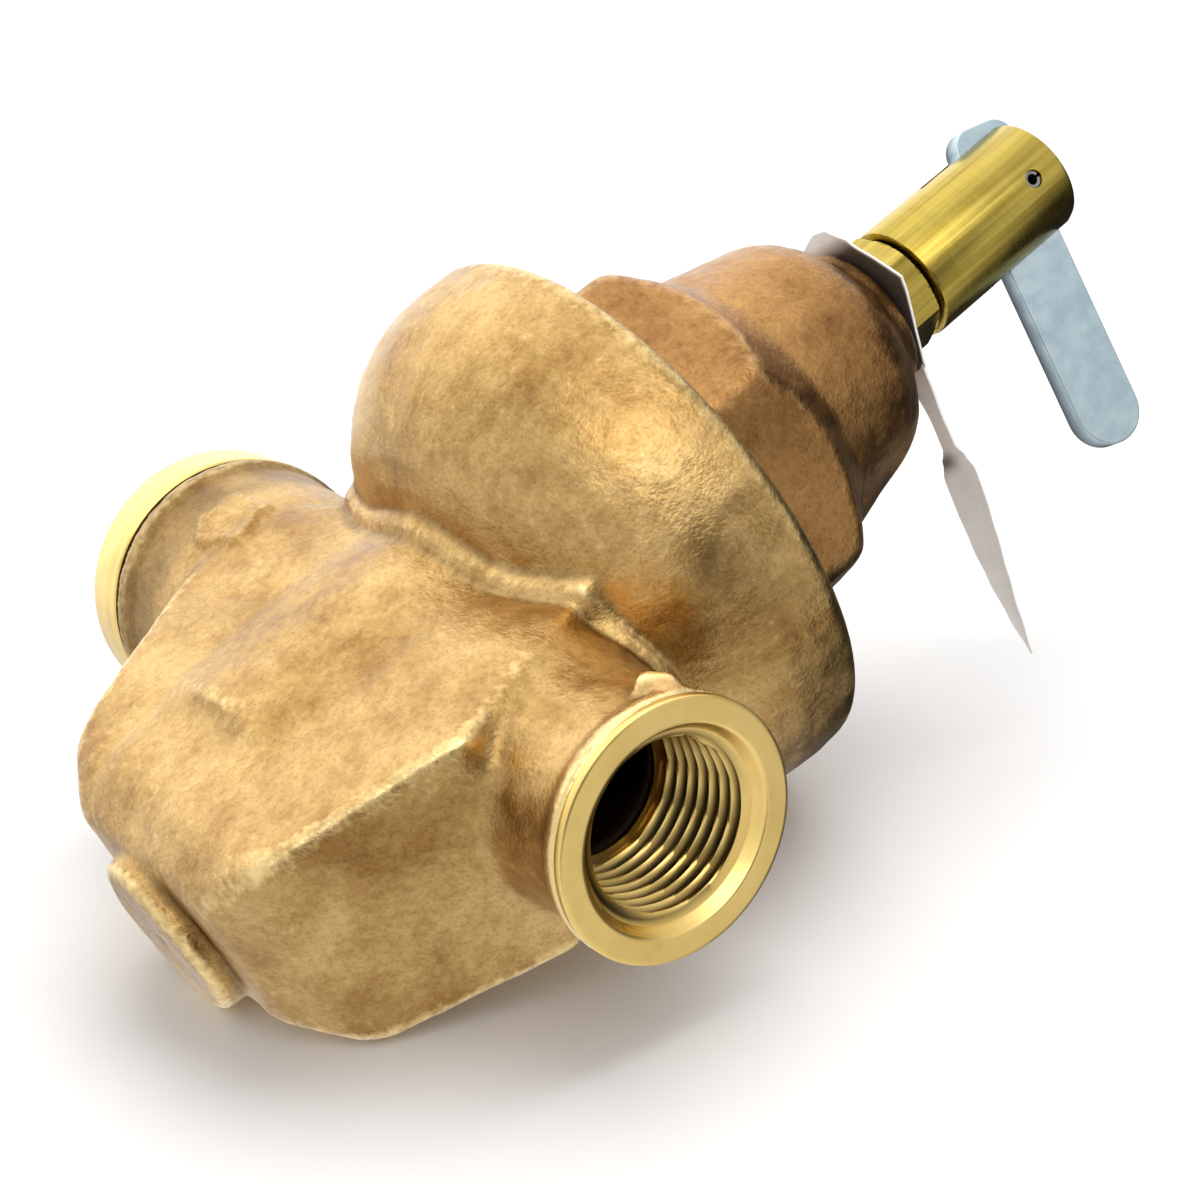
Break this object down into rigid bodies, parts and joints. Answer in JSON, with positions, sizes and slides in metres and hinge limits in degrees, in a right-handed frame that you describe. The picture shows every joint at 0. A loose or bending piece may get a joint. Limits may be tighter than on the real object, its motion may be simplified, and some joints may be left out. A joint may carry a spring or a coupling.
{
  "type": "pressure reducing valve",
  "caption": "In-line cast bronze water pressure reducing valve with a domed hex bonnet, brass adjusting screw and fast-fill lever.",
  "frame": {"origin": "where the pipe centre line and the stem centre line cross", "axes": "+Z along the stem towards the lever, +X along the pipe towards the outlet"},
  "size_m": [0.1033, 0.0747, 0.1499],
  "materials": {
    "bronze_body": "sand-cast bronze, golden and grainy",
    "bronze_bonnet": "sand-cast bronze, redder and duller",
    "brass_collar": "turned brass",
    "brass_head": "turned brass bar",
    "brass_inner": "turned brass",
    "stainless": "turned stainless steel",
    "steel_plate": "zinc-plated steel",
    "spring_steel": "spring wire",
    "zinc_lever": "bright zinc plate",
    "pin_steel": "dark spring steel",
    "tag_sheet": "thin blank sheet",
    "rubber": "moulded rubber",
    "fibre": "fibre sheet",
    "acetal": "moulded acetal"
  },
  "bodies": {
    "root": {"body": "bronze_body", "bonnet": "bronze_bonnet", "valve_seat": "stainless", "seat_gasket": "fibre", "slip_ring": "fibre", "diaphragm": "rubber", "inlet_collar": "brass_collar", "collar_gasket": "rubber", "strainer_screen": "stainless", "check_cage": "acetal", "check_spring": "spring_steel", "return_spring": "spring_steel"},
    "tag": {"info_tag": "tag_sheet"},
    "lock_nut": {"lock_nut": "brass_head"},
    "spring_button": {"spring_button": "steel_plate", "range_spring": "spring_steel"},
    "adjusting_screw": {"adjusting_screw": "brass_head", "lever_pin": "pin_steel"},
    "lever": {"lever": "zinc_lever"},
    "plunger": {"plunger": "stainless"},
    "stem": {"stem": "stainless", "disc_holder": "brass_inner", "seat_disc": "rubber", "disc_nut": "brass_inner", "diaphragm_washer": "brass_inner", "pressure_plate": "steel_plate", "diaphragm_nut": "brass_inner"},
    "check_poppet": {"check_poppet": "acetal", "check_disc": "rubber"}
  },
  "joints": [
    {"name": "lever_lift", "type": "hinge", "parent": "adjusting_screw", "child": "lever", "pos_m": [0, 0, 0.1025], "axis": [0.8788, -0.4772, 0], "range_deg": [0, 60]},
    {"name": "stem_travel", "type": "slide", "parent": "root", "child": "stem", "axis": [0, 0, 1], "range_m": [-0.0025, 0], "deforming": ["range_spring", "diaphragm", "return_spring"]},
    {"name": "plunger_push", "type": "slide", "parent": "adjusting_screw", "child": "plunger", "axis": [0, 0, 1], "range_m": [-0.0025, 0]},
    {"name": "adjust_turn", "type": "hinge", "parent": "spring_button", "child": "adjusting_screw", "pos_m": [0, 0, 0.0825], "axis": [0, 0, 1], "range_deg": [0, 720]},
    {"name": "screw_travel", "type": "slide", "parent": "root", "child": "spring_button", "axis": [0, 0, 1], "range_m": [0, 0.00254]},
    {"name": "lock_nut_turn", "type": "hinge", "parent": "root", "child": "lock_nut", "pos_m": [0, 0, 0.0787], "axis": [0, 0, 1], "range_deg": [0, 90]},
    {"name": "tag_swivel", "type": "hinge", "parent": "root", "child": "tag", "pos_m": [0, 0, 0.0754], "axis": [0, 0, 1], "range_deg": [-20, 20]},
    {"name": "check_travel", "type": "slide", "parent": "root", "child": "check_poppet", "axis": [1, 0, 0], "range_m": [0, 0.0025], "stiffness_N_per_m": 20, "springref_m": -0.001, "deforming": ["check_spring"]}
  ],
  "couplings": [
    {"joint": "lever_lift", "follows": "stem_travel", "rad_per_m": -418.88},
    {"joint": "plunger_push", "follows": "stem_travel", "ratio": 1},
    {"joint": "adjust_turn", "follows": "screw_travel", "rad_per_m": 4947.4}
  ]
}
